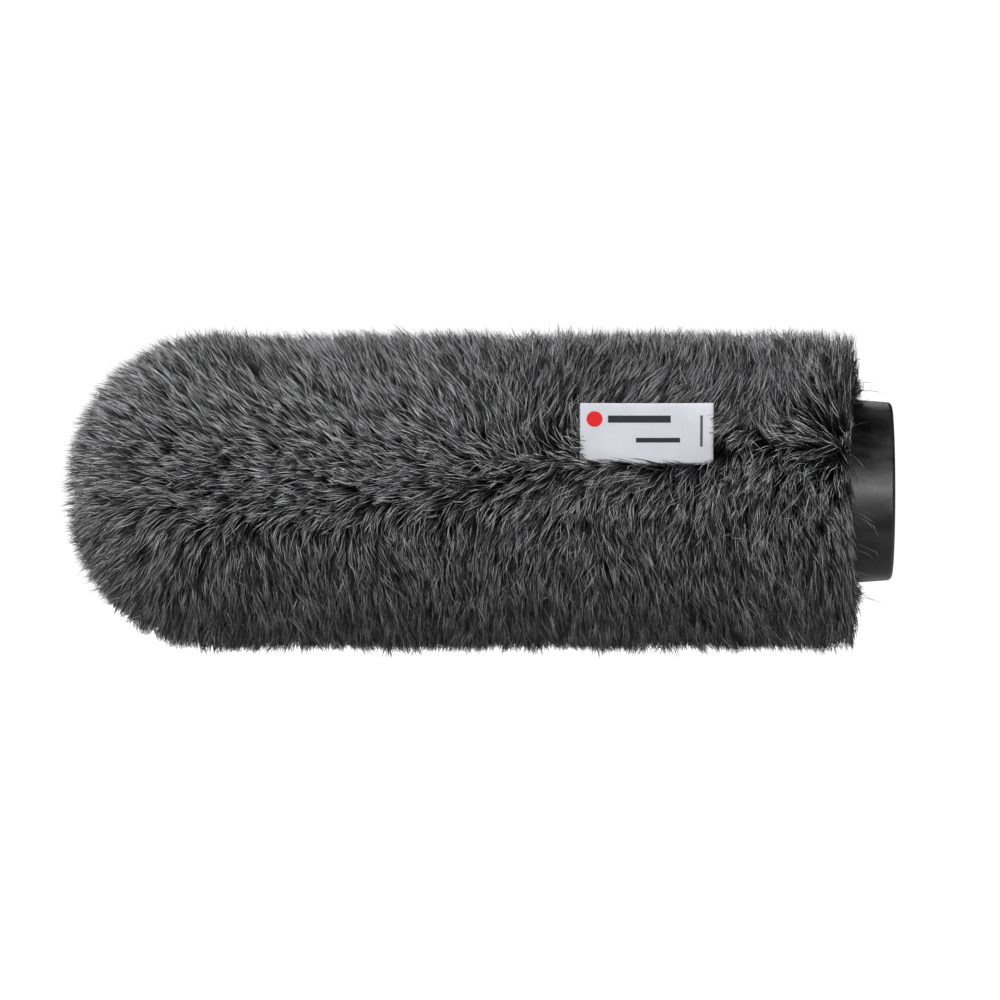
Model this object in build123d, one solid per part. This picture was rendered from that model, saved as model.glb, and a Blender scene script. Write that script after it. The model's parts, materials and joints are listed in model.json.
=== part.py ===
from build123d import *

import math
import os

# Furry slip-on windscreen for a shotgun microphone, in millimetres.
# +X runs along the microphone bore from the nose to the rear, the way the microphone leaves.
# The origin is the centre of the bore's mouth, in the plane of the collar's rear rim. +Z is up.
# The cover is an upper and a lower panel of long-pile fabric, sewn along both sides and the nose.

# Whole object
OVERALL_LENGTH = 225.0  # tip of the pile to the collar's rear rim
FOAM_RADIUS = 29.0
BACKING_THICKNESS = 1.0
PILE_DEPTH = 13.0
NOSE_LENGTH = 38.0  # half-axis of the pile's rounded nose, along X
TIP_FLAT = 1.0  # radius of the flat spot at the nose's tip

# Rubber collar
COLLAR_LENGTH = 13.0  # what shows behind the cover
COLLAR_REAR_RADIUS = 24.25
COLLAR_FRONT_RADIUS = 25.25
COLLAR_WALL = 3.0
COLLAR_WEB = 4.0
RIM_FILLET = 1.4
BOSS_SETBACK = 1.0
RIB_COUNT = 6
RIB_THICKNESS = 2.0
RIB_SETBACK = 3.0
SPIGOT_WALL = 4.0
SPIGOT_REACH = 24.0  # how far the spigot runs into the foam, from the web's front face

# Grip bush and the slot for the microphone
MIC_RADIUS = 9.5
BUSH_WALL = 3.5
BUSH_LENGTH = 30.0
BUSH_CHAMFER = 1.2  # at the bore's front end
BUSH_ROUNDING = 0.6  # of the outer edge, where the bush stands out of the collar's boss
SLOT_CLEARANCE = 0.5  # around the microphone, in the foam
SLOT_DEPTH = 180.0
PLUG_SHOULDER = 2.0  # step that the nose plug seats on

# Rear edge of the cover
HEM_TAPE_THICKNESS = 1.0
HEM_TAPE_MARGIN = 0.5  # the tape stops this far inside the collar's edge
ELASTIC_RADIUS = 1.2
ELASTIC_ROOM = 0.5
PILE_OVERHANG = 3.0  # the pile reaches this far past the cover's turned edge
PILE_REAR_FILLET = 2.5
HEM_STITCH_BAND = 3.0  # bare ring outside the collar, where the hem stitches show
HEM_STITCH_COUNT = 40

# Side and nose seams
SEAM_HEIGHT = 7.5
PARTING_GAP = 1.5  # bare strip on each side of the seam
PARTING_SLOPE = 10.0  # the pile rises from the seam at this angle
STITCH_PITCH = 4.0
STITCH_LENGTH = 2.3
THREAD_RADIUS = 0.25

# Label, sewn into the seam on the -Y side
LABEL_WIDTH = 36.0
LABEL_LENGTH = 16.6
LABEL_THICKNESS = 0.8
LABEL_CENTRE = 67.5  # forward of the collar's rear rim
LABEL_TILT = 15.0  # leans out from upright
LABEL_SWING = 60.0
TAIL_REACH = 1.9  # how far the sewn-in tail stands out of the backing
POCKET_MARGIN = 1.5  # room in the pile around the label's swing

BODY_GAP = 0.3  # between the label and whatever it doesn't move with
TOUCH_GAP = 0.05  # between small round parts and what they lie on
SPARE = 30.0  # how far cutting blocks run past the object

BACKING_RADIUS = FOAM_RADIUS + BACKING_THICKNESS
PILE_RADIUS = BACKING_RADIUS + PILE_DEPTH
NOSE_CENTRE = -(OVERALL_LENGTH - NOSE_LENGTH)
BACKING_NOSE = NOSE_LENGTH - PILE_DEPTH
FOAM_NOSE = BACKING_NOSE - BACKING_THICKNESS
BUSH_RADIUS = MIC_RADIUS + BUSH_WALL
SPIGOT_RADIUS = BUSH_RADIUS + SPIGOT_WALL
SLOT_RADIUS = MIC_RADIUS + SLOT_CLEARANCE
PLUG_RADIUS = SLOT_RADIUS + PLUG_SHOULDER

COLLAR_FRONT = -COLLAR_LENGTH
WEB_REAR = COLLAR_FRONT + COLLAR_WEB
SPIGOT_FRONT = COLLAR_FRONT - SPIGOT_REACH
COVER_REAR = COLLAR_FRONT - HEM_TAPE_THICKNESS
FOAM_REAR = COVER_REAR - BACKING_THICKNESS
PILE_REAR = COVER_REAR + PILE_OVERHANG
HEM_RING_RADIUS = COLLAR_FRONT_RADIUS + HEM_STITCH_BAND

SEAM_HALF_WIDTH = math.sqrt(BACKING_RADIUS**2 - SEAM_HEIGHT**2)
TAIL_EDGE = SEAM_HALF_WIDTH + TAIL_REACH
HINGE_Y = -(TAIL_EDGE + BODY_GAP + LABEL_THICKNESS / 2)


def rod(radius, start, end):
    """A solid cylinder on the bore's axis, from one X to another."""
    return extrude(Plane.YZ.offset(start) * Circle(radius), amount=end - start)


def turned(outline):
    """The solid that an outline of edges, drawn in X and radius, makes about the bore's axis."""
    return revolve(make_face(Plane.XZ * Curve(outline)), axis=Axis.X)


def bullet(radius, nose, rear):
    """A round body with an elliptical nose, which has a small flat tip, and a flat rear face."""
    sweep = 90 - math.degrees(math.asin(TIP_FLAT / radius))
    dome = EllipticalCenterArc((NOSE_CENTRE, 0), nose, radius, start_angle=90, arc_size=sweep)
    tip = dome @ 1
    return turned([
        Line((rear, 0), (rear, radius)),
        Line((rear, radius), (NOSE_CENTRE, radius)),
        dome,
        Line(tip, (tip.X, 0)),
        Line((tip.X, 0), (rear, 0)),
    ])


def half_space(sign, height=SEAM_HEIGHT):
    """A block that fills one side of a level plane: +1 above it, -1 below it."""
    side = 2 * (OVERALL_LENGTH + SPARE)
    block = Box(side, side, side)
    return Pos(0, 0, height + sign * side / 2) * block


def planform(grow, height):
    """The backing's outline seen from above, grown outwards, with its rear edge left behind it."""
    half_width = BACKING_RADIUS + grow
    nose = BACKING_NOSE + grow
    outline = [
        Line((SPARE, half_width), (NOSE_CENTRE, half_width)),
        EllipticalCenterArc((NOSE_CENTRE, 0), nose, half_width, start_angle=90, arc_size=180),
        Line((NOSE_CENTRE, -half_width), (SPARE, -half_width)),
        Line((SPARE, -half_width), (SPARE, half_width)),
    ]
    return make_face(Plane.XY.offset(height) * Curve(outline))


def panel_side(sign):
    """The space on one side of the seam in which pile grows, sloping back from the parting."""
    rise = PILE_RADIUS + SPARE
    grow = rise / math.tan(math.radians(PARTING_SLOPE))
    start = SEAM_HEIGHT + sign * PARTING_GAP
    return loft([planform(0, start), planform(grow, start + sign * rise)], ruled=True)


def label_plane(angle):
    """The label's middle plane at a swing angle: local Y runs from its sewn edge to its free edge."""
    lean = math.radians(LABEL_TILT + angle)
    outward = (0, -math.cos(lean), -math.sin(lean))
    return Plane(origin=(-LABEL_CENTRE, HINGE_Y, SEAM_HEIGHT), x_dir=(1, 0, 0), z_dir=outward)


def label_pocket():
    """The space that the label sweeps, with room around it."""
    width = LABEL_WIDTH + 2 * POCKET_MARGIN
    reach = LABEL_LENGTH + POCKET_MARGIN
    clear = LABEL_THICKNESS / 2 + BODY_GAP
    start = -LABEL_CENTRE - width / 2
    centre = Pos(0, HINGE_Y, SEAM_HEIGHT)
    swept = centre * rod(reach, start, start + width)
    in_front = Box(width, 2 * reach, 2 * reach, align=(Align.CENTER, Align.CENTER, Align.MIN))
    behind = Box(width, 2 * reach, 2 * reach, align=(Align.CENTER, Align.CENTER, Align.MAX))
    swept &= label_plane(0) * Pos(0, 0, -clear) * in_front
    swept &= label_plane(LABEL_SWING) * Pos(0, 0, clear) * behind
    return swept


def collar():
    """Moulded rubber collar: tapered rim, ribbed recess, and a spigot that the foam fits over."""
    barrel = turned([
        Line((0, 0), (0, COLLAR_REAR_RADIUS)),
        Line((0, COLLAR_REAR_RADIUS), (COLLAR_FRONT, COLLAR_FRONT_RADIUS)),
        Line((COLLAR_FRONT, COLLAR_FRONT_RADIUS), (COLLAR_FRONT, 0)),
        Line((COLLAR_FRONT, 0), (0, 0)),
    ])
    barrel = fillet(barrel.edges().sort_by(Axis.X)[-1], RIM_FILLET)
    recess = rod(COLLAR_REAR_RADIUS - COLLAR_WALL, WEB_REAR, SPARE)
    shell = barrel - recess
    shell = fillet(shell.faces().sort_by(Axis.X)[-1].inner_wires()[0].edges(), RIM_FILLET / 2)
    shell += rod(SPIGOT_RADIUS, SPIGOT_FRONT, -BOSS_SETBACK)
    rib_length = COLLAR_REAR_RADIUS - COLLAR_WALL / 2 - BUSH_RADIUS
    rib_depth = -WEB_REAR - RIB_SETBACK
    rib = Box(rib_depth, RIB_THICKNESS, rib_length, align=(Align.MAX, Align.CENTER, Align.MIN))
    for number in range(RIB_COUNT):
        turn = number * 360 / RIB_COUNT
        shell += Rot(turn, 0, 0) * Pos(-RIB_SETBACK, 0, BUSH_RADIUS) * rib
    return shell - rod(BUSH_RADIUS, SPIGOT_FRONT - SPARE, SPARE)


def grip_bush():
    """Soft bush that grips the microphone's barrel."""
    bush = rod(BUSH_RADIUS, -BUSH_LENGTH, 0) - rod(MIC_RADIUS, -BUSH_LENGTH, 0)
    bush = fillet(bush.faces().sort_by(Axis.X)[-1].outer_wire().edges(), BUSH_ROUNDING)
    return chamfer(bush.faces().sort_by(Axis.X)[0].inner_wires()[0].edges(), BUSH_CHAMFER)


def nose_hole():
    """The hole through the foam's nose that the plug closes."""
    return rod(PLUG_RADIUS, NOSE_CENTRE - NOSE_LENGTH, -SLOT_DEPTH)


def foam_sleeve():
    sleeve = bullet(FOAM_RADIUS, FOAM_NOSE, FOAM_REAR)
    sleeve -= rod(SLOT_RADIUS, -SLOT_DEPTH, FOAM_REAR)
    sleeve -= rod(SPIGOT_RADIUS, SPIGOT_FRONT, FOAM_REAR)
    pocket_radius = SPIGOT_RADIUS + 2 * ELASTIC_RADIUS + ELASTIC_ROOM
    pocket_depth = 2 * ELASTIC_RADIUS + ELASTIC_ROOM
    sleeve -= rod(pocket_radius, FOAM_REAR - pocket_depth, FOAM_REAR)
    return sleeve - nose_hole()


def nose_plug():
    return bullet(FOAM_RADIUS, FOAM_NOSE, FOAM_REAR) & nose_hole()


def backing(sign):
    """One panel's knitted base cloth, turned in over the foam's rear edge."""
    cloth = bullet(BACKING_RADIUS, BACKING_NOSE, COVER_REAR) - bullet(FOAM_RADIUS, FOAM_NOSE, FOAM_REAR)
    cloth -= rod(SPIGOT_RADIUS, FOAM_REAR, SPARE)
    return (cloth & half_space(sign)) - label_tail()


def pile(sign):
    """One panel's fur as a closed body, parted at the seams and open where the label swings."""
    fur = bullet(PILE_RADIUS, NOSE_LENGTH, PILE_REAR)
    fur = fillet(fur.edges().sort_by(Axis.X)[-1], PILE_REAR_FILLET)
    fur -= bullet(BACKING_RADIUS, BACKING_NOSE, COVER_REAR)
    fur -= rod(HEM_RING_RADIUS, COVER_REAR, SPARE)
    fur &= panel_side(sign)
    return fur - label_pocket()


def seam_stitch():
    """A thread that crosses the seam: it is centred on the origin and runs along Z."""
    return Cylinder(THREAD_RADIUS, STITCH_LENGTH)


def side_stitches(side):
    """Stitches along one side seam, left out where the label is sewn in."""
    angle = math.asin(SEAM_HEIGHT / BACKING_RADIUS)
    radius = BACKING_RADIUS + THREAD_RADIUS + TOUCH_GAP
    length = COVER_REAR - NOSE_CENTRE
    count = int(length / STITCH_PITCH)
    stitches = []
    for number in range(count):
        x = NOSE_CENTRE + (number + 0.5) * length / count
        beside_label = abs(x + LABEL_CENTRE) < LABEL_WIDTH / 2 + STITCH_PITCH / 2
        if side < 0 and beside_label:
            continue
        place = Pos(x, side * radius * math.cos(angle), radius * math.sin(angle))
        stitches.append(place * Rot(side * math.degrees(angle), 0, 0) * seam_stitch())
    return Compound(children=stitches)


def nose_stitches():
    """Stitches along the seam over the nose, in the seam's plane."""
    at_seam = math.sqrt(1 - (SEAM_HEIGHT / BACKING_RADIUS) ** 2)
    path = EllipticalCenterArc(
        (NOSE_CENTRE, 0), BACKING_NOSE * at_seam, BACKING_RADIUS * at_seam, start_angle=90, arc_size=180
    )
    lift = THREAD_RADIUS + 2 * TOUCH_GAP
    count = int(path.length / STITCH_PITCH)
    stitches = []
    for number in range(count):
        share = (number + 0.5) / count
        point = path @ share
        along = path % share
        outward = Vector(along.Y, -along.X, 0)
        if outward.dot(point - Vector(NOSE_CENTRE, 0, 0)) < 0:
            outward = -outward
        steepness = SEAM_HEIGHT / BACKING_RADIUS**2
        normal = Vector((point.X - NOSE_CENTRE) / BACKING_NOSE**2, point.Y / BACKING_RADIUS**2, steepness)
        normal = normal.normalized()
        centre = Vector(point.X, point.Y, SEAM_HEIGHT) + normal * lift
        across = (Vector(0, 0, 1) - normal * normal.Z).normalized()
        stitches.append(Plane(origin=centre, x_dir=normal, z_dir=across) * seam_stitch())
    return Compound(children=stitches)


def hem_tape():
    """Flat tape between the cover's turned edge and the collar's web."""
    outer = COLLAR_FRONT_RADIUS - HEM_TAPE_MARGIN
    return rod(outer, COVER_REAR, COLLAR_FRONT) - rod(SPIGOT_RADIUS, COVER_REAR, COLLAR_FRONT)


def hem_elastic():
    """Elastic cord that draws the cover's edge in around the spigot."""
    ring_radius = SPIGOT_RADIUS + ELASTIC_RADIUS + TOUCH_GAP
    x = FOAM_REAR - ELASTIC_RADIUS - TOUCH_GAP
    return Plane(origin=(x, 0, 0), z_dir=(1, 0, 0)) * Torus(ring_radius, ELASTIC_RADIUS)


def hem_stitches():
    """Short stitches around the cover's turned edge, just outside the collar."""
    radius = COLLAR_FRONT_RADIUS + HEM_STITCH_BAND / 2
    stitch = Rot(90, 0, 0) * seam_stitch()
    stitches = []
    for number in range(HEM_STITCH_COUNT):
        turn = (number + 0.5) * 360 / HEM_STITCH_COUNT
        place = Pos(COVER_REAR + THREAD_RADIUS + TOUCH_GAP, 0, radius)
        stitches.append(Rot(turn, 0, 0) * place * stitch)
    return Compound(children=stitches)


def label_tail():
    """The label's sewn-in edge, held between the two panels."""
    inner = math.sqrt(FOAM_RADIUS**2 - SEAM_HEIGHT**2) + BACKING_THICKNESS / 4
    tail = Box(LABEL_WIDTH, TAIL_EDGE - inner, LABEL_THICKNESS)
    return Pos(-LABEL_CENTRE, -(TAIL_EDGE + inner) / 2, SEAM_HEIGHT) * tail


def label_stitches():
    """A row of stitches on the underside of the label's tail, just outside the backing."""
    y = -(SEAM_HALF_WIDTH + TAIL_REACH / 2)
    z = SEAM_HEIGHT - LABEL_THICKNESS / 2 - THREAD_RADIUS - TOUCH_GAP
    count = int(LABEL_WIDTH / STITCH_PITCH)
    stitches = []
    for number in range(count):
        x = -LABEL_CENTRE - LABEL_WIDTH / 2 + (number + 0.5) * LABEL_WIDTH / count
        stitches.append(Pos(x, y, z) * Rot(0, 90, 0) * seam_stitch())
    return Compound(children=stitches)


def label_flag():
    """The label's free part: a folded double ply, rounded at its fold line."""
    flat = Box(LABEL_WIDTH, LABEL_LENGTH, LABEL_THICKNESS, align=(Align.CENTER, Align.MIN, Align.CENTER))
    fold = Rot(0, 90, 0) * Cylinder(LABEL_THICKNESS / 2, LABEL_WIDTH)
    return label_plane(0) * (flat + fold)


def nodes():
    return {
        "collar": collar(),
        "grip_bush": grip_bush(),
        "foam_sleeve": foam_sleeve(),
        "nose_plug": nose_plug(),
        "upper_backing": backing(1),
        "lower_backing": backing(-1),
        "upper_pile": pile(1),
        "lower_pile": pile(-1),
        "near_seam_thread": side_stitches(-1),
        "far_seam_thread": side_stitches(1),
        "nose_seam_thread": nose_stitches(),
        "hem_tape": hem_tape(),
        "hem_elastic": hem_elastic(),
        "hem_stitches": hem_stitches(),
        "label_tail": label_tail(),
        "label_stitches": label_stitches(),
        "label_flag": label_flag(),
    }


os.makedirs("parts", exist_ok=True)
for name, solid in nodes().items():
    export_step(solid, f"parts/{name}.step")
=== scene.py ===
import json
import math
from types import SimpleNamespace

import bpy
import numpy as np
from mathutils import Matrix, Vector


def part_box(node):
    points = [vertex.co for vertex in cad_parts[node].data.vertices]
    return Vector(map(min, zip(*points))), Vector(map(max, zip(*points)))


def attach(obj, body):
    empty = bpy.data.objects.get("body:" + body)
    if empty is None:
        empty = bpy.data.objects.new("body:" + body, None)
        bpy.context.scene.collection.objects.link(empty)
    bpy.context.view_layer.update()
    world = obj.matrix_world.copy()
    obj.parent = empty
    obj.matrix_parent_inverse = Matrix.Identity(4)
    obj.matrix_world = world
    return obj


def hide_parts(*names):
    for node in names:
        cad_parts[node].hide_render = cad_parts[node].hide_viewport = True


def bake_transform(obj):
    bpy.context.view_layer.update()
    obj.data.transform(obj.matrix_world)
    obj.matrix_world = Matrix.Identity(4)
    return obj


# Furry slip-on windscreen: nose towards -X, rubber collar at +X, label on the -Y side, +Z up.
# Every length is in metres. Angles around the bore run from the -Y side (0) over the top.

MM = 0.001

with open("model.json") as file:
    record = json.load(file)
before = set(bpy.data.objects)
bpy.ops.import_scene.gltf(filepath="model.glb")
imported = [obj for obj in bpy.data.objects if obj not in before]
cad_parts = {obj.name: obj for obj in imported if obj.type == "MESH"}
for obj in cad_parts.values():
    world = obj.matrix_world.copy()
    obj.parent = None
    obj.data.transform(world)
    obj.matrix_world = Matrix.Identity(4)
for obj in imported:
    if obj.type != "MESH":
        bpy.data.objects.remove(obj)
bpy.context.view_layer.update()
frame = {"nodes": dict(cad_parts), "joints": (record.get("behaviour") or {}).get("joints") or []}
scene = bpy.context.scene
collection = scene.collection


# ---------------------------------------------------------------------------
# The frame's places

PILE_NOSE_LENGTH = 38 * MM  # half-axis of the pile's rounded nose
PILE_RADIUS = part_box("upper_pile")[1].z
PILE_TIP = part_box("lower_pile")[0].x
PILE_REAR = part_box("lower_pile")[1].x
NOSE_CENTRE = PILE_TIP + PILE_NOSE_LENGTH
CLOTH_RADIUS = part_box("upper_backing")[1].z
CLOTH_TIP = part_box("lower_backing")[0].x
CLOTH_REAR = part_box("lower_backing")[1].x
CLOTH_NOSE_LENGTH = NOSE_CENTRE - CLOTH_TIP
COLLAR_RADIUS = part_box("collar")[1].z
SEAM_HEIGHT = (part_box("label_tail")[0].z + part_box("label_tail")[1].z) / 2
SEAM_ANGLE = math.asin(SEAM_HEIGHT / CLOTH_RADIUS)

HINGE = Vector(frame["joints"][0]["pos_m"])
LABEL_LOW, LABEL_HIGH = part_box("label_flag")
LABEL_TILT = math.radians(15)  # leans out from upright
LABEL_SWING = math.radians(frame["joints"][0]["range_deg"][1])
LABEL_HALF_THICKNESS = 0.4 * MM
LABEL_REACH = (LABEL_HIGH.z - HINGE.z) / math.cos(LABEL_TILT)
LABEL_CENTRE = (LABEL_LOW.x + LABEL_HIGH.x) / 2
LABEL_HALF_WIDTH = (LABEL_HIGH.x - LABEL_LOW.x) / 2
LABEL_ASPECT = 2 * LABEL_HALF_WIDTH / LABEL_REACH


# ---------------------------------------------------------------------------
# Camera

CAMERA_DISTANCE = 2.4
VIEW_WIDTH = 273.2 * MM  # what the picture takes in, in the plane of the bore
CAMERA_X = -107.0 * MM
CAMERA_Z = -2.4 * MM

camera_data = bpy.data.cameras.new("camera")
camera_data.angle = 2 * math.atan(VIEW_WIDTH / 2 / CAMERA_DISTANCE)
camera_data.clip_start = 0.1
camera_data.clip_end = 50
camera = bpy.data.objects.new("camera", camera_data)
camera.location = (CAMERA_X, -CAMERA_DISTANCE, CAMERA_Z)
camera.rotation_euler = (math.pi / 2, 0, 0)
collection.objects.link(camera)
scene.camera = camera


# ---------------------------------------------------------------------------
# Node helpers


def new_material(name, base, roughness, **sockets):
    """A material whose shader has these constant values. Returns it with its nodes, links and shader."""
    material = bpy.data.materials.new(name)
    material.use_nodes = True
    nodes, links = material.node_tree.nodes, material.node_tree.links
    shader = nodes["Principled BSDF"]
    shader.inputs["Base Color"].default_value = (*base, 1)
    shader.inputs["Roughness"].default_value = roughness
    for socket, value in sockets.items():
        shader.inputs[socket.replace("_", " ")].default_value = value
    return material, nodes, links, shader


def add_node(nodes, kind, **settings):
    """A shader node, with values for its sockets or its own settings."""
    node = nodes.new("ShaderNode" + kind)
    for key, value in settings.items():
        if key in node.inputs:
            node.inputs[key].default_value = value
        else:
            setattr(node, key, value)
    return node


def object_coordinates(nodes, links, scale=(1, 1, 1)):
    """The frame's own coordinates, scaled."""
    coordinates = nodes.new("ShaderNodeTexCoord")
    mapping = nodes.new("ShaderNodeMapping")
    mapping.inputs["Scale"].default_value = scale
    links.new(coordinates.outputs["Object"], mapping.inputs["Vector"])
    return mapping.outputs["Vector"]


def map_axes(nodes, links, name):
    """The U and V of a mesh's map."""
    uv = nodes.new("ShaderNodeUVMap")
    uv.uv_map = name
    split = nodes.new("ShaderNodeSeparateXYZ")
    links.new(uv.outputs["UV"], split.inputs["Vector"])
    return split.outputs["X"], split.outputs["Y"]


def noise(nodes, links, vector, scale, detail=4.0, roughness=0.5):
    texture = add_node(nodes, "TexNoise", Scale=scale, Detail=detail, Roughness=roughness)
    links.new(vector, texture.inputs["Vector"])
    return texture.outputs["Fac"]


def wave(nodes, links, vector, scale, distortion, direction="X"):
    texture = add_node(nodes, "TexWave", Scale=scale, Distortion=distortion, bands_direction=direction)
    links.new(vector, texture.inputs["Vector"])
    return texture.outputs["Fac"]


def ramp(nodes, links, value, stops):
    """A colour ramp: stops are (position, grey) or (position, (r, g, b))."""
    node = nodes.new("ShaderNodeValToRGB")
    elements = node.color_ramp.elements
    while len(elements) < len(stops):
        elements.new(0.5)
    for element, (position, colour) in zip(elements, stops):
        rgb = (colour,) * 3 if isinstance(colour, (int, float)) else colour
        element.position = position
        element.color = (*rgb, 1)
    links.new(value, node.inputs["Fac"])
    return node.outputs["Color"]


def tint(nodes, links, shader, value, stops):
    """Gives the shader the colours of a ramp."""
    links.new(ramp(nodes, links, value, stops), shader.inputs["Base Color"])


def bump(nodes, links, shader, height, strength, distance):
    node = add_node(nodes, "Bump", Strength=strength, Distance=distance)
    links.new(height, node.inputs["Height"])
    links.new(node.outputs["Normal"], shader.inputs["Normal"])


def maths(nodes, links, operation, first, second):
    """A Math node's result. Each input is a number or another node's output."""
    node = nodes.new("ShaderNodeMath")
    node.operation = operation
    for socket, value in zip(node.inputs, (first, second)):
        if isinstance(value, (int, float)):
            socket.default_value = value
        else:
            links.new(value, socket)
    return node.outputs["Value"]


# ---------------------------------------------------------------------------
# Materials

FUR_DARK, FUR_LIGHT = (0.007, 0.007, 0.0075), (0.46, 0.46, 0.47)
# Darker towards the root: partly painted shade deep in the pile, partly the fibres' own darker roots.
FUR_ROOT_SHADE_TO_TIP = [(0.0, 0.04), (0.45, 0.16), (0.75, 0.6), (0.95, 1.0)]  # a fibre's brightness along its way

# The label's generic marks. Places are shares of its width and height, and the radius is one of its height.
LABEL_DISC = (0.11, 0.74, 0.13)  # across, up, radius
DISC_RED = (0.37, 0.004, 0.006)
BAR_BLACK, BAR_GREY = (0.009, 0.01, 0.013), (0.04, 0.043, 0.05)
LABEL_BARS = [  # from and to across, from and to up, colour
    (0.21, 0.68, 0.68, 0.8, BAR_BLACK),
    (0.42, 0.75, 0.35, 0.43, BAR_BLACK),
    (0.9, 0.92, 0.28, 0.8, BAR_GREY),
]


def fur_material():
    """Hair: its map's U chooses a fibre's shade, and V runs from the root to the tip, darkening towards the
    root with partly painted shade.
    """
    material, nodes, links, shader = new_material("fur_pile", FUR_LIGHT, 0.4, Specular_IOR_Level=0.4)
    across, up = map_axes(nodes, links, FUR_UV)
    # Painted shade: fibres darken towards the root, partly for shade deep in the pile and partly for their
    # own darker roots.
    along = ramp(nodes, links, up, FUR_ROOT_SHADE_TO_TIP)
    shades = [(0.0, FUR_DARK), (0.3, [2.5 * c for c in FUR_DARK]), (1.0, FUR_LIGHT)]
    shade = ramp(nodes, links, across, shades)
    mix = nodes.new("ShaderNodeMix")
    mix.data_type = "RGBA"
    mix.blend_type = "MULTIPLY"
    mix.inputs["Factor"].default_value = 1
    links.new(along, mix.inputs["A"])
    links.new(shade, mix.inputs["B"])
    links.new(mix.outputs["Result"], shader.inputs["Base Color"])
    return material


def knit_material():
    """Knitted base cloth: rows of loops with a little fuzz."""
    material, nodes, links, shader = new_material("knit_backing", (0.02, 0.02, 0.022), 0.9)
    vector = object_coordinates(nodes, links)
    rows = wave(nodes, links, vector, 320.0, 1.5)
    fuzz = noise(nodes, links, vector, 1500.0)
    tint(nodes, links, shader, rows, [(0.0, 0.008), (1.0, 0.03)])
    bump(nodes, links, shader, maths(nodes, links, "ADD", rows, fuzz), 0.6, 0.3 * MM)
    return material


def collar_material():
    """Gloss-black moulded rubber with faint mould mottling and handling marks."""
    material, nodes, links, shader = new_material(
        "collar_rubber", (0.005, 0.005, 0.005), 0.38, Specular_IOR_Level=0.38
    )
    vector = object_coordinates(nodes, links)
    mottle = noise(nodes, links, vector, 90.0, detail=6.0, roughness=0.6)
    smears = noise(nodes, links, object_coordinates(nodes, links, (60, 160, 160)), 1.0, detail=5.0)
    links.new(ramp(nodes, links, smears, [(0.35, 0.3), (0.65, 0.52)]), shader.inputs["Roughness"])
    film = maths(nodes, links, "MULTIPLY", mottle, smears)
    tint(nodes, links, shader, film, [(0.2, 0.0015), (0.32, 0.012)])
    grain = noise(nodes, links, vector, 900.0, detail=3.0)
    coarse = maths(nodes, links, "MULTIPLY", mottle, 4.0)
    bump(nodes, links, shader, maths(nodes, links, "ADD", grain, coarse), 0.25, 0.06 * MM)
    return material


def bush_material():
    """Soft matt rubber."""
    material, nodes, links, shader = new_material("bush_rubber", (0.02, 0.02, 0.021), 0.6)
    vector = object_coordinates(nodes, links)
    grain = noise(nodes, links, vector, 1400.0)
    tint(nodes, links, shader, noise(nodes, links, vector, 200.0), [(0.3, 0.013), (0.7, 0.024)])
    bump(nodes, links, shader, grain, 0.4, 0.08 * MM)
    return material


def foam_material():
    """Open-cell foam: painted shade darkens the pores between lighter struts."""
    material, nodes, links, shader = new_material("open_cell_foam", (0.03, 0.03, 0.031), 0.95)
    cells = add_node(nodes, "TexVoronoi", Scale=1400.0)
    links.new(object_coordinates(nodes, links), cells.inputs["Vector"])
    # Painted shade: the pores, the cells' hollows, are coloured darker than the struts.
    tint(nodes, links, shader, cells.outputs["Distance"], [(0.1, 0.006), (0.6, 0.05)])
    bump(nodes, links, shader, cells.outputs["Distance"], 0.9, 0.4 * MM)
    return material


def thread_material(name, base):
    """Twisted thread or braid."""
    material, nodes, links, shader = new_material(name, base, 0.7)
    twist = wave(nodes, links, object_coordinates(nodes, links), 1800.0, 2.0, "DIAGONAL")
    tint(nodes, links, shader, twist, [(0.2, tuple(0.5 * c for c in base)), (0.8, base)])
    bump(nodes, links, shader, twist, 0.7, 0.1 * MM)
    return material


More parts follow.
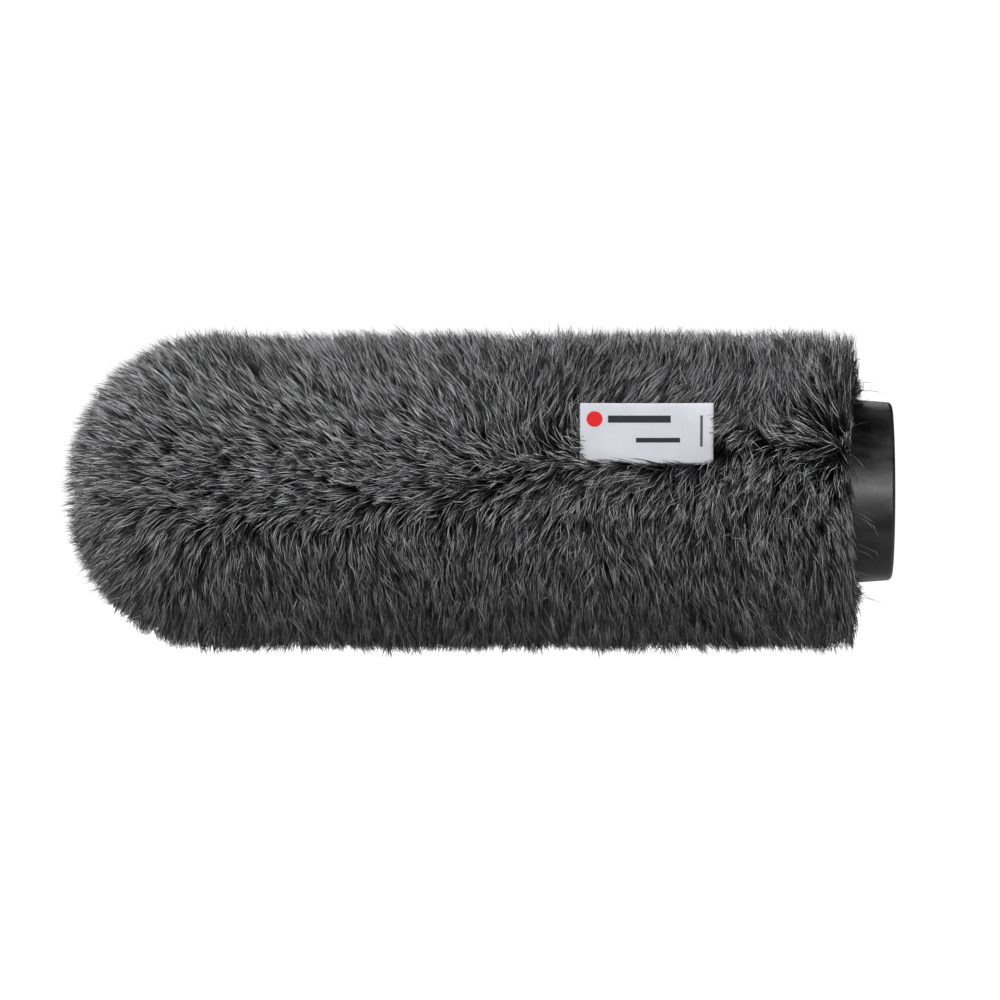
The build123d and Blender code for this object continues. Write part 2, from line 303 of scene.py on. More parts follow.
def label_material():
    """Grey satin-woven label: fine weave, a plain red disc and plain dark bars as its generic marks."""
    material, nodes, links, shader = new_material(
        "label_cloth", (0.5, 0.51, 0.54), 0.5,
        Specular_IOR_Level=0.2, Sheen_Weight=0.06, Sheen_Roughness=0.4,
    )
    across, up = map_axes(nodes, links, "label")

    def inside(value, low, high):
        above_low = maths(nodes, links, "GREATER_THAN", value, low)
        below_high = maths(nodes, links, "LESS_THAN", value, high)
        return maths(nodes, links, "MULTIPLY", above_low, below_high)

    def bar(x0, x1, y0, y1):
        return maths(nodes, links, "MULTIPLY", inside(across, x0, x1), inside(up, y0, y1))

    def disc(x, y, radius):
        dx = maths(nodes, links, "MULTIPLY", maths(nodes, links, "SUBTRACT", across, x), LABEL_ASPECT)
        dy = maths(nodes, links, "SUBTRACT", up, y)
        dx_squared = maths(nodes, links, "MULTIPLY", dx, dx)
        squares = maths(nodes, links, "ADD", dx_squared, maths(nodes, links, "MULTIPLY", dy, dy))
        return maths(nodes, links, "LESS_THAN", squares, radius * radius)

    def paint(under, factor, colour):
        mix = nodes.new("ShaderNodeMix")
        mix.data_type = "RGBA"
        links.new(factor, mix.inputs["Factor"])
        links.new(under, mix.inputs["A"])
        mix.inputs["B"].default_value = (*colour, 1)
        return mix.outputs["Result"]

    vector = object_coordinates(nodes, links)
    shading = noise(nodes, links, vector, 60.0, detail=3.0)
    cloth = ramp(nodes, links, shading, [(0.3, (0.29, 0.3, 0.32)), (0.7, (0.36, 0.37, 0.395))])
    marks = paint(cloth, disc(*LABEL_DISC), DISC_RED)
    for *span, colour in LABEL_BARS:
        marks = paint(marks, bar(*span), colour)
    links.new(marks, shader.inputs["Base Color"])
    warp = wave(nodes, links, vector, 1300.0, 0.3, "Z")
    weft = wave(nodes, links, vector, 900.0, 0.3, "X")
    bump(nodes, links, shader, maths(nodes, links, "ADD", warp, weft), 0.35, 0.08 * MM)
    return material


# ---------------------------------------------------------------------------
# Fur: its sizes

SEED = 11
FUR_UV = "OFBake"  # the map that holds each fibre's shade and its root-to-tip run
SHADES = 48  # columns of that map, one for each shade

FIBRES = 150000
LOCKS = 25000  # small bunches that fibres gather into
FIBRE_LENGTH = 15.2 * MM
FIBRE_LENGTHS = (0.7, 1.0, 1.06)  # shortest, usual and longest, as shares of the lock's length
TUFT_LENGTH, LOCK_LENGTH = 0.08, 0.07  # how much the length varies by tuft and by lock
FIBRE_RADIUS = 0.15 * MM
FIBRE_WIDTHS = (0.75, 1.2)  # thinnest and thickest fibre, as shares of that radius
RING_WIDTHS = (0.8, 1.0, 0.8)  # at a fibre's root, and a third and two thirds of the way to its tip

STEPS = 9  # a fibre's path has one point more
RING_EVERY = 3  # path points from one ring of the mesh to the next
STAND_PLACES = (0, 0.3, 0.65, 1)  # from root to tip
STAND = (2.6, 2.3, 1.5, 0.8)  # how far hair stands up against how far it leans, at those places
DROOP = 0.08  # how far the tips hang
BEND_TURNS = 0.2  # share of the length where a fibre's bend changes sides

LOCK_SPREAD = 0.8 * MM
LEAST_RADIUS = 4 * MM  # keeps locks from fanning out at the nose tip
LOCK_TURN = math.radians(13)  # how far locks and fibres stray from the flow
FIBRE_TURN = math.radians(8)
LOCK_BEND, FIBRE_BEND = 0.35, 0.25
LOCK_GATHER = (0.2, 0.85)  # how far a lock's fibres close up at the tip
HANG_GATHER, MOST_GATHER = 0.35, 0.95  # hair that hangs from the underside closes up more
GATHER_POWER = 1.2

STRAYS = 0.025  # share of the fibres that go their own way
STRAY_TURN = math.radians(30)
STRAY_LENGTH, STRAY_BEND = 1.08, 2.2
WISPS = 45  # fibres that hang out over the collar
WISP_STRIP = 4 * MM  # they grow this close to the cloth's turned edge
WISP_LENGTHS = (0.55, 1.1)
WISP_THICKNESS = 0.6
WISP_OVERHANG = 9 * MM
LOOSE_GATHER = 0.1  # how far strays and wisps gather, against other fibres

LIGHT_FIBRES = 0.4  # share of the fibres that are silver rather than black
LIGHT_SPREAD = 0.16  # how much that share varies by lock
LIGHT_SHADE, DARK_SHADE = (0.75, 0.15), (0.14, 0.1)  # mean and spread
MOST_SHADE = 0.999

PILE_LIMIT, LIMIT_SPREAD, STRAY_LIMIT = 0.995, 0.022, 0.05  # where hair is pressed in, as shares of the pile
LIMIT_GIVE = 0.5  # share of what stands out that is left
REAR_EDGE = PILE_REAR - 4.4 * MM  # hair beyond it is drawn back
REAR_SPREAD = 0.7 * MM
CREST_OVERHANG = 3.6 * MM  # how much further back the hair reaches at the top and the bottom
REAR_PRESS = 0.75  # share of what hangs over that is drawn back

PARTING_ARC = math.radians(35)  # from here on the parting no longer changes how hair stands
PARTING_JITTER = 1.6 * MM
CREST_ARC = math.radians(34)  # hair leans less and less around the bore this close to the top and the bottom
SWIRL = math.radians(9)  # how far slow swirls turn the flow

COLLAR_ROOM = 0.3 * MM  # between the collar and the hair
LABEL_ROOM = 0.35 * MM  # between the label and the hair
LABEL_FOOT = 3 * MM  # hair makes way for the label from this far below its sewn edge
LABEL_PAST = 0.3 * MM  # and to this far past its free edge
LABEL_BLEND = 2.5 * MM
LABEL_CALM = 6 * MM  # the parting's jitter starts this far beside the label

# How hair lies: 0 points to the nose, 90 points straight away from the parting, and 180 to the rear.
# Each row is (mm forward of the collar's rim, then the angle at each of the arcs from the parting).
LIE_ARCS = (0, 10, 20, 38, 64)
UPPER_LIE = [
    (215, 0, 0, 5, 20, 30),
    (130, 0, 5, 15, 35, 50),
    (110, 0, 20, 70, 70, 60),
    (95, 0, 50, 110, 95, 85),
    (80, 10, 100, 130, 130, 90),
    (60, 40, 110, 140, 155, 95),
    (50, 60, 140, 140, 105, 80),
    (40, 100, 130, 130, 80, 80),
    (30, -10, 45, 85, 85, 75),
    (15, 0, 30, 40, 65, 70),
]
LOWER_LIE = [
    (215, 0, 20, 55, 80, 90),
    (185, 0, 10, 70, 90, 90),
    (160, 0, 20, 100, 120, 95),
    (120, 10, 40, 90, 100, 90),
    (100, 10, 50, 60, 80, 95),
    (85, 15, 35, 50, 85, 105),
    (70, 15, 40, 70, 95, 90),
    (50, 75, 90, 85, 110, 120),
    (35, 35, 50, 55, 90, 105),
    (20, 30, 40, 65, 90, 100),
    (10, 90, 95, 100, 105, 105),
]
# (mm forward, degrees that the parting lies up from level, how far hair beside it stands against the usual)
PARTING = [
    (140, 0, 1),
    (110, 5, 0.85),
    (90, 15, 0.65),
    (50, 15, 0.65),
    (40, 25, 0.7),
    (0, 20, 0.7),
]


# ---------------------------------------------------------------------------
# Fur: where it grows and how it lies

rng = np.random.default_rng(SEED)


def smooth(value):
    """An even rise from 0 to 1."""
    value = np.clip(value, 0, 1)
    return value * value * (3 - 2 * value)


def unit(vectors):
    return vectors / np.maximum(np.linalg.norm(vectors, axis=-1, keepdims=True), 1e-12)


class Waves:
    """A smooth random field over length and angle, made of a few crossed waves."""

    def __init__(self, count, shortest, longest):
        turn = rng.uniform(0, 2 * np.pi, count)
        size = 2 * np.pi / rng.uniform(shortest, longest, count)
        self.along, self.around = size * np.cos(turn), size * np.sin(turn) * PILE_RADIUS
        self.phase = rng.uniform(0, 2 * np.pi, count)
        self.count = count

    def at(self, x, angle):
        waves = zip(self.along, self.around, self.phase)
        total = sum(np.sin(along * x + around * angle + phase) for along, around, phase in waves)
        return total / math.sqrt(self.count / 2)


swirl = Waves(7, 16 * MM, 60 * MM)
tuft = Waves(9, 6 * MM, 16 * MM)


def guide_angle(rows, forward, arc):
    """The lie angle at a distance forward of the collar's rim and an arc away from the parting."""
    places, *columns = (np.array(column, float) for column in zip(*sorted(rows)))
    angles = [np.interp(forward / MM, places, column) for column in columns]
    turned = angles[0]
    for number in range(1, len(LIE_ARCS)):
        start, end = LIE_ARCS[number - 1], LIE_ARCS[number]
        share = np.clip((np.degrees(arc) - start) / (end - start), 0, 1)
        turned = turned + (angles[number] - angles[number - 1]) * share
    return np.radians(turned)


def parting(x):
    """The angle that the flow's parting lies at, and how far hair beside it stands against the usual."""
    places, angles, stands = (np.array(column, float) for column in zip(*sorted(PARTING)))
    return np.radians(np.interp(-x / MM, places, angles)), np.interp(-x / MM, places, stands)


HEM_CORNER, HEM_TURN = 0.5 * MM, 0.2 * MM  # how far from its edge the cloth leaves its barrel and turns in
HEM_CLEARANCE = 0.9 * MM  # from the turned edge to the collar
NOSE_POINTS, BARREL_POINTS, HEM_POINTS = 60, 60, 6


def meridian():
    """The cloth's outline from nose tip to collar: running length, X, radius and normal."""
    turn = np.linspace(0, np.pi / 2, NOSE_POINTS)
    barrel = np.linspace(NOSE_CENTRE, CLOTH_REAR - HEM_CORNER, BARREL_POINTS)[1:]
    x = np.concatenate([
        NOSE_CENTRE - CLOTH_NOSE_LENGTH * np.cos(turn),
        barrel,
        np.linspace(CLOTH_REAR - HEM_TURN, CLOTH_REAR, HEM_POINTS),
    ])
    r = np.concatenate([
        CLOTH_RADIUS * np.sin(turn),
        np.full(len(barrel), CLOTH_RADIUS),
        np.linspace(CLOTH_RADIUS - HEM_TURN, COLLAR_RADIUS + HEM_CLEARANCE, HEM_POINTS),
    ])
    run = np.concatenate([[0], np.cumsum(np.hypot(np.diff(x), np.diff(r)))])
    dx, dr = np.gradient(x, run), np.gradient(r, run)
    return run, x, r, -dr, dx


RUN, RUN_X, RUN_R, RUN_NX, RUN_NR = meridian()
PLASTIC_NUMBER = 1.324717957244746  # steps by its powers spread points evenly over a plane


def on_cloth(run, angle):
    """Points on the cloth and their outward normals."""
    x, r = np.interp(run, RUN, RUN_X), np.interp(run, RUN, RUN_R)
    nx, nr = np.interp(run, RUN, RUN_NX), np.interp(run, RUN, RUN_NR)
    point = np.stack([x, -r * np.cos(angle), r * np.sin(angle)], -1)
    normal = np.stack([nx, -nr * np.cos(angle), nr * np.sin(angle)], -1)
    return point, unit(normal)


def spread_roots(count):
    """Evenly spread (run, angle) pairs, as many per area everywhere."""
    area = np.concatenate([[0], np.cumsum((RUN_R[1:] + RUN_R[:-1]) / 2 * np.diff(RUN))])
    index = np.arange(count)
    share = (0.5 + index * (1 / PLASTIC_NUMBER)) % 1
    angle = ((0.5 + index * (1 / PLASTIC_NUMBER**2)) % 1) * 2 * np.pi - np.pi
    return np.interp(share * area[-1], area, RUN), angle


def above(angle, limit):
    """+1 where an angle is over the level of this one on either side, and -1 below it."""
    return np.where((angle > limit) & (angle < np.pi - limit), 1, -1)


def lie(point, side, jitter):
    """The way hair leans over the cloth at these places, and how far they are from the parting."""
    x = point[:, 0]
    angle = np.arctan2(point[:, 2], -point[:, 1])
    level, _ = parting(x)
    near = np.abs(angle) <= np.pi / 2
    far_level = np.where(angle > 0, np.pi - level, -np.pi - level)
    arc = np.abs(angle - np.where(near, level, far_level))
    upper = guide_angle(UPPER_LIE, -x, arc)
    lower = guide_angle(LOWER_LIE, -x, arc)
    turn = np.where(side > 0, upper, lower) + SWIRL * swirl.at(x, angle) + jitter
    upper_angle = np.where(angle < -np.pi / 2, angle + 2 * np.pi, angle)
    lower_angle = np.where(angle > np.pi / 2, angle - 2 * np.pi, angle)
    from_crest = np.where(side > 0, np.pi / 2 - upper_angle, -np.pi / 2 - lower_angle)
    around = np.sign(from_crest) * smooth(np.abs(from_crest) / CREST_ARC)
    direction = np.stack([np.zeros_like(x), np.sin(angle), np.cos(angle)], -1)
    turned = (np.sin(turn) * around)[:, None] * direction
    turned[:, 0] = -np.cos(turn)
    return turned, arc


def envelope(point):
    """1 on the pile's outer surface, less inside it."""
    radius = np.hypot(point[..., 1], point[..., 2]) / PILE_RADIUS
    ahead = np.minimum(point[..., 0] - NOSE_CENTRE, 0) / PILE_NOSE_LENGTH
    return np.hypot(radius, ahead)


def grow(root, normal, side, length, jitter, bend):
    """Traces each fibre from its root, standing up at first and then leaning over. Returns its points."""
    point = root.copy()
    path = [point]
    _, arc = lie(root, side, jitter)
    upright = 1 + (parting(root[:, 0])[1] - 1) * (1 - smooth(arc / PARTING_ARC))
    for step in range(STEPS):
        share = (step + 0.5) / STEPS
        stand = np.interp(share, STAND_PLACES, STAND) * upright
        droop = np.array([0, 0, -DROOP * share])
        leaning, _ = lie(point, side, jitter)
        way = unit(leaning + normal * stand[:, None] + bend * (share - BEND_TURNS) + droop)
        point = point + way * (length / STEPS)[:, None]
        path.append(point)
    return np.stack(path, 1)


def press_in(path, limit, rear):
    """Presses points back that would stand far out of the pile or hang over the collar."""
    level = envelope(path)
    over = np.maximum(level - limit, 0)
    target = np.where(over > 0, limit + LIMIT_GIVE * over, level)
    centre = path.copy()
    centre[..., 1:] = 0
    centre[..., 0] = np.maximum(path[..., 0], NOSE_CENTRE)
    path = centre + (path - centre) * (target / np.maximum(level, 1e-6))[..., None]
    path[..., 0] -= REAR_PRESS * np.maximum(path[..., 0] - rear, 0)
    return path


def label_axes(angle):
    """The label's own way out from its sewn edge, and the way its front faces, at a swing angle."""
    lean = LABEL_TILT + angle
    return np.array([0, -math.sin(lean), math.cos(lean)]), np.array([0, -math.cos(lean), -math.sin(lean)])


def off_label(x):
    """0 over the label's width, rising to 1 away from it."""
    return smooth((np.abs(x - LABEL_CENTRE) - LABEL_HALF_WIDTH) / LABEL_CALM)


def clear_label(path, side):
    """Lays the hair above the parting under the label, and keeps the hair below it out of its swing."""
    beside = np.abs(path[..., 0] - LABEL_CENTRE) - LABEL_HALF_WIDTH
    over_width = 1 - smooth(beside / LABEL_BLEND)
    room = LABEL_HALF_THICKNESS + LABEL_ROOM
    for which, angle in ((1, 0.0), (-1, LABEL_SWING)):
        along, facing = label_axes(angle)
        offset = path - np.array(HINGE)
        run = offset @ along
        over_length = smooth((run + LABEL_FOOT) / LABEL_BLEND)
        over_length = over_length * (1 - smooth((run - LABEL_REACH - LABEL_PAST) / LABEL_BLEND))
        distance = which * (offset @ facing)
        excess = np.maximum(distance + room, 0) * over_width * over_length * (side == which)[:, None]
        path = path - which * excess[..., None] * facing
    return path


def clear_collar(path):
    """Keeps hair out of the collar."""
    radius = np.hypot(path[..., 1], path[..., 2])
    least = np.where(path[..., 0] > CLOTH_REAR, COLLAR_RADIUS + COLLAR_ROOM, 0)
    scale = np.maximum(least / np.maximum(radius, 1e-6), 1)
    path = path.copy()
    path[..., 1:] *= scale[..., None]
    return path


# ---------------------------------------------------------------------------
# Fur: locks, fibres and their meshes


def grow_locks():
    """The locks, each with the panel it grows on, the side of the parting it lies to, and its guide path."""
    run, angle = spread_roots(LOCKS)
    root, normal = on_cloth(run, angle)
    x = root[:, 0]
    edge = rng.normal(0, PARTING_JITTER, LOCKS) + PARTING_JITTER * tuft.at(x, angle)
    side = above(angle, parting(x)[0] + edge / CLOTH_RADIUS * off_label(x))
    turn = rng.normal(0, LOCK_TURN, LOCKS)
    length = FIBRE_LENGTH * (1 + TUFT_LENGTH * tuft.at(x, angle) + rng.normal(0, LOCK_LENGTH, LOCKS))
    bend = rng.normal(0, LOCK_BEND, (LOCKS, 3))
    path = grow(root, normal, side, length, turn, bend)
    return SimpleNamespace(
        run=run, angle=angle, panel=above(angle, SEAM_ANGLE), side=side,
        turn=turn, length=length, bend=bend, path=path,
    )


def wisp_bends():
    """How each wisp bends: out over the collar, and mostly down."""
    out, across, up = rng.uniform(0.4, 1.7, WISPS), rng.normal(0, 0.4, WISPS), rng.normal(-0.9, 0.8, WISPS)
    return np.stack([out, across, up], -1)


def fibre_paths():
    """Every fibre's points, with the panel it grows on, its shade and its thickness."""
    locks = grow_locks()
    lock = np.arange(FIBRES) % LOCKS
    run = np.clip(locks.run[lock] + rng.normal(0, LOCK_SPREAD, FIBRES), 0, RUN[-1])
    radius = np.maximum(np.interp(run, RUN, RUN_R), LEAST_RADIUS)
    angle = locks.angle[lock] + rng.normal(0, 1, FIBRES) * LOCK_SPREAD / radius
    root, normal = on_cloth(run, angle)
    side = locks.side[lock]
    stray = rng.random(FIBRES) < STRAYS
    wisp = np.zeros(FIBRES, bool)
    by_collar = np.flatnonzero(root[:, 0] > CLOTH_REAR - WISP_STRIP)
    wisp[rng.choice(by_collar, WISPS, replace=False)] = True

    turn = locks.turn[lock] + rng.normal(0, FIBRE_TURN, FIBRES) + stray * rng.normal(0, STRAY_TURN, FIBRES)
    length = locks.length[lock] * rng.triangular(*FIBRE_LENGTHS, FIBRES) * np.where(stray, STRAY_LENGTH, 1)
    length = length * np.where(wisp, rng.uniform(*WISP_LENGTHS, FIBRES), 1)
    bend = locks.bend[lock] + rng.normal(0, FIBRE_BEND, (FIBRES, 3)) * np.where(stray, STRAY_BEND, 1)[:, None]
    bend[wisp] += wisp_bends()
    path = grow(root, normal, side, length, turn, bend)

    share = rng.uniform(*LOCK_GATHER, LOCKS)[lock]
    share += (MOST_GATHER - share) * (HANG_GATHER * np.maximum(-np.sin(angle), 0))
    share = share * np.where(stray | wisp, LOOSE_GATHER, 1)
    gather = share[:, None] * np.linspace(0, 1, STEPS + 1) ** GATHER_POWER
    path = path + (locks.path[lock] - path) * gather[..., None]

    limit = PILE_LIMIT + rng.normal(0, LIMIT_SPREAD, FIBRES) + np.where(stray, STRAY_LIMIT, 0)
    rear = REAR_EDGE + CREST_OVERHANG * np.sin(angle) ** 2
    rear = rear + rng.normal(0, REAR_SPREAD, FIBRES) + np.where(wisp, WISP_OVERHANG, 0)
    path = press_in(path, limit[:, None], rear[:, None])
    path = clear_collar(clear_label(path, side))

    light = rng.random(FIBRES) < LIGHT_FIBRES + LIGHT_SPREAD * rng.normal(0, 1, LOCKS)[lock]
    shade = np.where(light | wisp, rng.normal(*LIGHT_SHADE, FIBRES), rng.normal(*DARK_SHADE, FIBRES))
    return path, locks.panel[lock], np.clip(shade, 0, MOST_SHADE), np.where(wisp, WISP_THICKNESS, 1)


def fibre_faces():
    """A fibre's faces, over three rings of three points and a tip: corners and their (side, ring) places."""
    faces = []
    for ring in range(2):
        for number in range(3):
            after = (number + 1) % 3
            low, high = 3 * ring, 3 * ring + 3
            corners = (low + number, low + after, high + after, high + number)
            places = [(number, ring), (number + 1, ring), (number + 1, ring + 1), (number, ring + 1)]
            faces.append((corners, places))
    for number in range(3):
        corners = (6 + number, 6 + (number + 1) % 3, 9)
        faces.append((corners, [(number, 2), (number + 1, 2), (number + 0.5, 3)]))
    faces.append(((2, 1, 0), [(0, 0), (1, 0), (0.5, 0.06)]))
    return faces


FIBRE_POINTS = 10
MAP_MARGIN, MAP_STEP = 0.3, 0.13  # where a fibre's sides lie in its shade's column of the map
MAP_ROOT, MAP_RUN = 0.01, 0.98  # where its root lies up the map, and how far above it its tip does


def fibre_mesh(name, path, shade, thickness):
    """Closed three-sided tapering fibres, all in one mesh."""
    count = len(path)
    rings = path[:, ::RING_EVERY]
    tangent = unit(np.gradient(rings, axis=1))
    reference = unit(rng.normal(0, 1, (count, 1, 3)))
    side = unit(np.cross(tangent, reference))
    other = np.cross(tangent, side)
    width = FIBRE_RADIUS * rng.uniform(*FIBRE_WIDTHS, (count, 1)) * thickness[:, None] * np.array(RING_WIDTHS)
    corners = []
    for number in range(3):
        turn = 2 * np.pi * number / 3
        lean = math.cos(turn) * side[:, :3] + math.sin(turn) * other[:, :3]
        corners.append(rings[:, :3] + width[..., None] * lean)
    vertices = np.concatenate([np.stack(corners, 2).reshape(count, 9, 3), rings[:, 3:]], 1)

    faces = fibre_faces()
    pattern = [corner for corners, _ in faces for corner in corners]
    places = np.array([place for _, places in faces for place in places])
    loops = (np.arange(count)[:, None] * FIBRE_POINTS + np.array(pattern)).ravel()
    totals = np.tile([len(corners) for corners, _ in faces], count)
    column = np.floor(shade * SHADES)
    u = (column[:, None] + MAP_MARGIN + MAP_STEP * places[:, 0]) / SHADES
    v = np.tile(MAP_ROOT + MAP_RUN * (places[:, 1] / 3), (count, 1))

    mesh = bpy.data.meshes.new(name)
    mesh.vertices.add(count * FIBRE_POINTS)
    mesh.vertices.foreach_set("co", vertices.astype(np.float32).ravel())
    mesh.loops.add(len(loops))
    mesh.loops.foreach_set("vertex_index", loops.astype(np.int32))
    mesh.polygons.add(len(totals))
    starts = np.concatenate([[0], np.cumsum(totals)[:-1]])
    mesh.polygons.foreach_set("loop_start", starts.astype(np.int32))
    mesh.update(calc_edges=True)
    shade_smooth(mesh)
    layer = mesh.uv_layers.new(name=FUR_UV)
    layer.data.foreach_set("uv", np.stack([u, v], -1).astype(np.float32).ravel())
    mesh.validate()
    return mesh


def shade_smooth(mesh):
    mesh.polygons.foreach_set("use_smooth", np.ones(len(mesh.polygons), bool))


def link(name, mesh, material):
    """Puts a mesh in the scene as a piece of its own."""
    piece = bpy.data.objects.new(name, mesh)
    mesh.materials.append(material)
    collection.objects.link(piece)
    return piece


def grow_fur(material):
    """All the fur, in pieces by panel and side. Returns {"upper": [pieces], "lower": [pieces]}."""
    path, panel, shade, thickness = fibre_paths()
    near = path[:, 0, 1] < 0
    grown = {"upper": [], "lower": []}
    for name, sign, parts in (("upper", 1, 3), ("lower", -1, 4)):
        for side, chosen in (("near", near), ("far", ~near)):
            members = np.flatnonzero((panel == sign) & chosen)
            members = members[np.argsort(path[members, 0, 0], kind="stable")]
            for number, group in enumerate(np.array_split(members, parts)):
                label = f"{name}_fur_{side}_{number + 1}"
                piece = link(label, fibre_mesh(label, path[group], shade[group], thickness[group]), material)
                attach(piece, "cover")
                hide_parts(f"{name}_pile")
                grown[name].append(piece)
    return grown


# ---------------------------------------------------------------------------
# Base cloth

CLOTH_COLUMNS, CLOTH_ROWS = 90, 120
CLOTH_START = 1.0 * MM  # running length from the nose tip to the panels' first row
CLOTH_THICKNESS = 0.7 * MM
CLOTH_RIPPLE, CLOTH_INSET = 0.12 * MM, 0.2 * MM


def panel_angles(sign):
    """Where a panel starts and ends around the bore: the upper one over the top, the lower one underneath."""
    return (SEAM_ANGLE, np.pi - SEAM_ANGLE) if sign > 0 else (-np.pi - SEAM_ANGLE, SEAM_ANGLE)


def grid_faces(rows, columns):
    """The faces of a grid of points that are counted row by row."""
    starts = [row * columns + column for row in range(rows - 1) for column in range(columns - 1)]
    return [(a, a + 1, a + columns + 1, a + columns) for a in starts]


def base_cloth(name, sign, material):
    """One panel's knitted base: a thin fitted sheet from the nose to its turned edge."""
    angles = np.linspace(*panel_angles(sign), CLOTH_COLUMNS)
    runs = np.linspace(CLOTH_START, RUN[-1], CLOTH_ROWS)
    grid_run, grid_angle = np.meshgrid(runs, angles, indexing="ij")
    point, normal = on_cloth(grid_run.ravel(), grid_angle.ravel())
    ripple = CLOTH_RIPPLE * swirl.at(point[:, 0], grid_angle.ravel())
    point = point + normal * (ripple - CLOTH_INSET)[:, None]
    faces = [(a, d, c, b) for a, b, c, d in grid_faces(CLOTH_ROWS, CLOTH_COLUMNS)]
    mesh = bpy.data.meshes.new(name)
    mesh.from_pydata(point.tolist(), [], faces)
    mesh.update()
    shade_smooth(mesh)
    piece = link(name, mesh, material)
    solidify = piece.modifiers.new("thickness", "SOLIDIFY")
    solidify.thickness = CLOTH_THICKNESS
    solidify.offset = -1
    return piece


# ---------------------------------------------------------------------------
# Label

LABEL_COLUMNS, LABEL_ROWS = 73, 37
LABEL_SOFT_EDGE = 1.0 * MM
LABEL_EDGE, LABEL_SWELL = 0.45, 0.4  # thickness at the edge, and how much more inside, as shares of the CAD's
LABEL_BOW = 0.35 * MM  # how far its upper corners curl back


def label_piece(material):
    """The woven label: a folded double ply with soft edges and a slight bow across its width."""
    width, height = 2 * LABEL_HALF_WIDTH, LABEL_REACH
    columns, rows = LABEL_COLUMNS, LABEL_ROWS
    along, facing = (Vector(v) for v in label_axes(0.0))
    vertices, faces, uvs = [], [], []
    for face_sign in (1, -1):
        for row in range(rows):
            for column in range(columns):
                s, t = column / (columns - 1), row / (rows - 1)
                edge = min(s, 1 - s) * width
                rim = min(edge, (1 - t) * height, LABEL_SOFT_EDGE) / LABEL_SOFT_EDGE
                half = LABEL_HALF_THICKNESS * (LABEL_EDGE + LABEL_SWELL * math.sqrt(rim))
                bow = -LABEL_BOW * (2 * s - 1) ** 2 * t
                foot = Vector((LABEL_LOW.x + s * width, HINGE.y, HINGE.z))
                vertices.append(foot + along * (t * height) + facing * (face_sign * half + bow))
                uvs.append((s, t))
    layer = rows * columns
    for quad in grid_faces(rows, columns):
        faces.append(quad)
        faces.append(tuple(layer + corner for corner in reversed(quad)))
    border = list(range(columns))
    border += [row * columns + columns - 1 for row in range(1, rows)]
    border += [(rows - 1) * columns + column for column in range(columns - 2, -1, -1)]
    border += [row * columns for row in range(rows - 2, 0, -1)]
    for here, after in zip(border, border[1:] + border[:1]):
        faces.append((after, here, layer + here, layer + after))
    mesh = bpy.data.meshes.new("label")
    mesh.from_pydata(vertices, [], faces)
    mesh.update()
    mesh_uv = mesh.uv_layers.new(name="label")
    for loop in mesh.loops:
        mesh_uv.data[loop.index].uv = uvs[loop.vertex_index]
    shade_smooth(mesh)
    return link("label", mesh, material)


# ---------------------------------------------------------------------------
# Floor and light

FLOOR_HALF_SIZE = 1.3
FLOOR_HEIGHT = -(PILE_RADIUS + 3.5 * MM)
FLOOR_SEEN, FLOOR_LIGHT = 0.9, 0.12  # how it glows straight to the camera, and onto other things
WORLD_SEEN, WORLD_LIGHT = 1.05, 0.05
MIDDLE = (-0.11, 0, 0)
LIGHTS = [  # name, place, what it points at, width, length, watts
    ("key_softbox", (-1.05, -1.35, 0.95), MIDDLE, 0.7, 0.45, 42.0),
    ("front_softbox", (0.5, -2.15, -0.1), MIDDLE, 1.0, 1.1, 58.0),
    ("rim_softbox", (0.95, -1.35, 0.05), (0, 0, 0), 0.15, 0.9, 24.0),
    ("side_softbox", (-1.5, -0.7, -0.2), MIDDLE, 0.6, 0.8, 33.0),
    ("back_softbox", (-0.6, 1.3, 0.8), MIDDLE, 1.2, 0.6, 40.0),
]


def glow(nodes, links, seen, cast):
    """A strength of one value straight to the camera, and another in the light that falls on things."""
    path = nodes.new("ShaderNodeLightPath")
    strength = maths(nodes, links, "MULTIPLY_ADD", path.outputs["Is Camera Ray"], seen - cast)
    strength.node.inputs[2].default_value = cast
    return strength


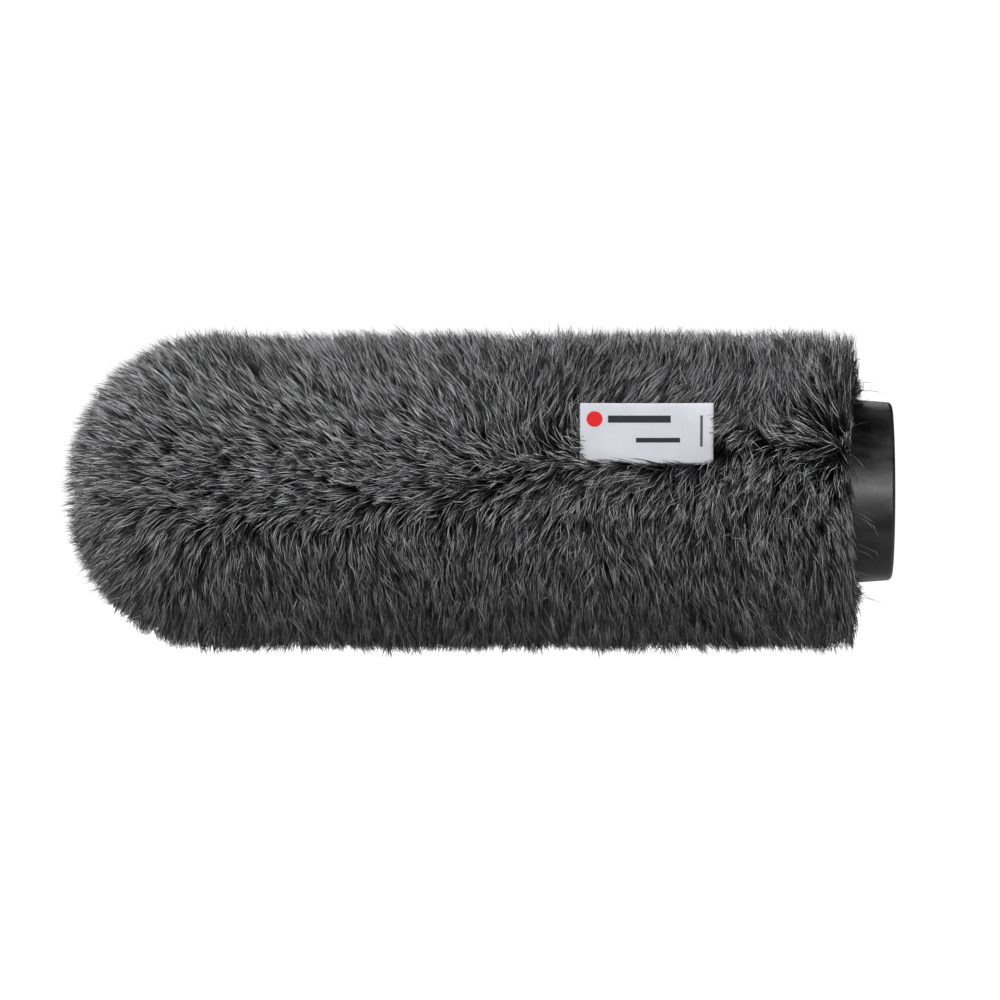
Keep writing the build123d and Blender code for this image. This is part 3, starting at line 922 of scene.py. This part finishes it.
def add_floor():
    mesh = bpy.data.meshes.new("floor")
    signs = ((-1, -1), (1, -1), (1, 1), (-1, 1))
    corners = [(x * FLOOR_HALF_SIZE, y * FLOOR_HALF_SIZE, FLOOR_HEIGHT) for x, y in signs]
    mesh.from_pydata(corners, [], [(0, 1, 2, 3)])
    material, nodes, links, shader = new_material(
        "floor", (0.4, 0.4, 0.4), 0.9, Specular_IOR_Level=0.1, Emission_Color=(1, 1, 1, 1)
    )
    links.new(glow(nodes, links, FLOOR_SEEN, FLOOR_LIGHT), shader.inputs["Emission Strength"])
    link("floor", mesh, material)


def add_world():
    world = bpy.data.worlds.new("studio")
    scene.world = world
    world.use_nodes = True
    nodes, links = world.node_tree.nodes, world.node_tree.links
    background = nodes["Background"]
    background.inputs["Color"].default_value = (1, 1, 1, 1)
    links.new(glow(nodes, links, WORLD_SEEN, WORLD_LIGHT), background.inputs["Strength"])


def add_lights():
    for name, place, target, width, length, power in LIGHTS:
        light = bpy.data.lights.new(name, "AREA")
        light.shape = "RECTANGLE"
        light.size = width
        light.size_y = length
        light.energy = power
        lamp = bpy.data.objects.new(name, light)
        lamp.location = place
        lamp.rotation_euler = (Vector(target) - Vector(place)).to_track_quat("-Z", "Y").to_euler()
        collection.objects.link(lamp)


# ---------------------------------------------------------------------------
# Assembly

scene.view_settings.view_transform = "Standard"

thread = thread_material("sewing_thread", (0.03, 0.03, 0.031))
foam = foam_material()
knit = knit_material()
label_cloth = label_material()
finishes = {
    "collar": collar_material(),
    "grip_bush": bush_material(),
    "foam_sleeve": foam,
    "nose_plug": foam,
    "near_seam_thread": thread,
    "far_seam_thread": thread,
    "nose_seam_thread": thread,
    "hem_stitches": thread,
    "label_stitches": thread,
    "hem_tape": thread_material("hem_tape", (0.02, 0.02, 0.02)),
    "hem_elastic": thread_material("elastic_cord", (0.03, 0.03, 0.03)),
    "label_tail": label_cloth,
}
for node, material in finishes.items():
    mesh = frame["nodes"][node].data
    mesh.materials.clear()
    mesh.materials.append(material)

fur = grow_fur(fur_material())

# The rounded nose leaves 0.93 of each panel's rectangle as cloth.
for name, sign in (("upper", 1), ("lower", -1)):
    cloth = base_cloth(f"{name}_base_cloth", sign, knit)
    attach(cloth, "cover")
    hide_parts(f"{name}_backing")

label = label_piece(label_cloth)
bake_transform(label)
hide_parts("label_flag")

add_floor()
add_world()
add_lights()
